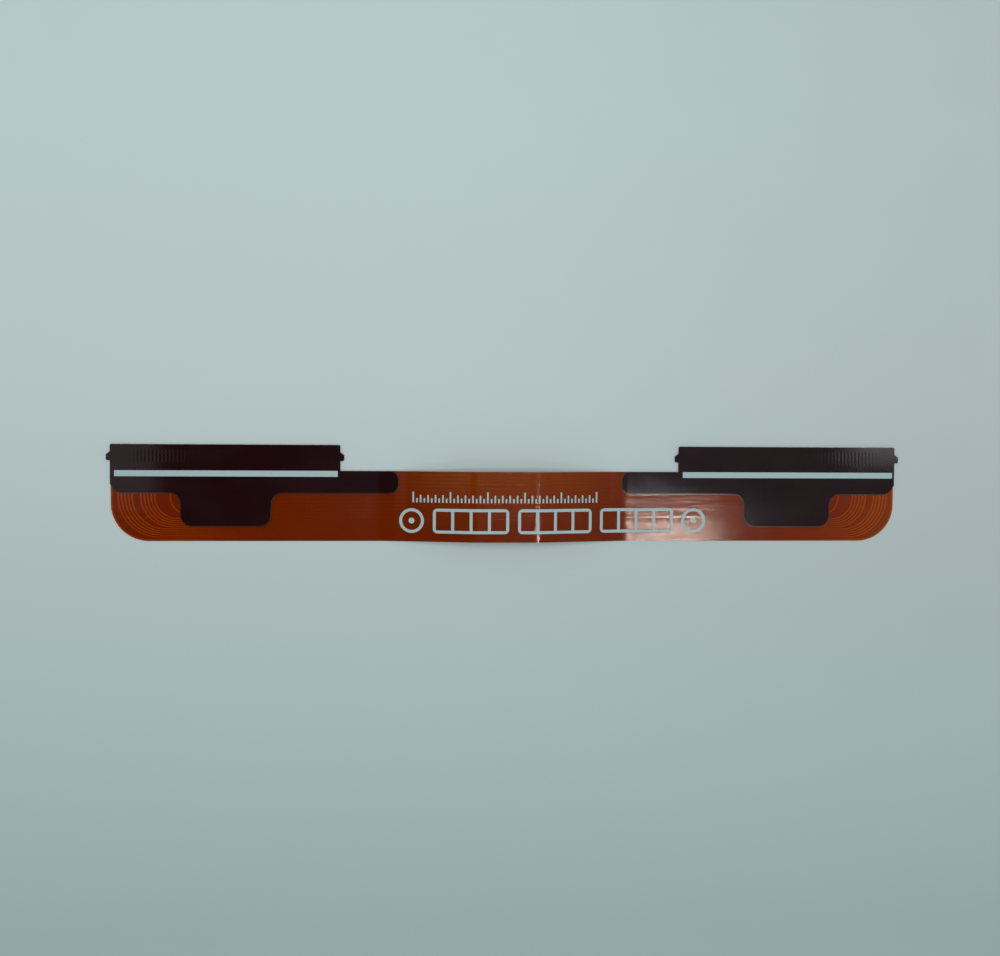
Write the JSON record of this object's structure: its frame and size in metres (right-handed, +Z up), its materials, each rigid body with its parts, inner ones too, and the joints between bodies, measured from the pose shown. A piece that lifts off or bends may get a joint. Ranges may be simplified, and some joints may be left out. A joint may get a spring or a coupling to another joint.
{
  "type": "flat flex cable",
  "caption": "U-shaped flexible printed circuit with a stiffened contact finger at each end and a low arch in the middle of its strip.",
  "frame": {"origin": "on the resting plane, under the middle of the outline", "axes": "+X along the strip towards the right finger, +Y towards the finger tips, +Z up from the contact side to the stiffener side"},
  "size_m": [0.1084, 0.013, 0.0029],
  "materials": {
    "film": "clear amber polyimide film, glossy",
    "copper": "rolled copper, gold plated where bare",
    "adhesive": "clear golden adhesive, cured between the tracks",
    "bond": "cured adhesive sheet",
    "stiffener": "dark brown polyimide plate, satin",
    "ink": "white screen-printed ink"
  },
  "bodies": {
    "root": {"cover_film": "film", "cover_adhesive": "adhesive", "ground_tracks": "copper", "signal_tracks": "copper", "power_tracks": "copper", "base_film": "film", "stiffener_bond_left": "bond", "stiffener_bond_right": "bond", "stiffener_left": "stiffener", "stiffener_right": "stiffener", "insertion_line_left": "ink", "insertion_line_right": "ink", "marking_grids": "ink", "printed_scale": "ink"}
  },
  "joints": []
}
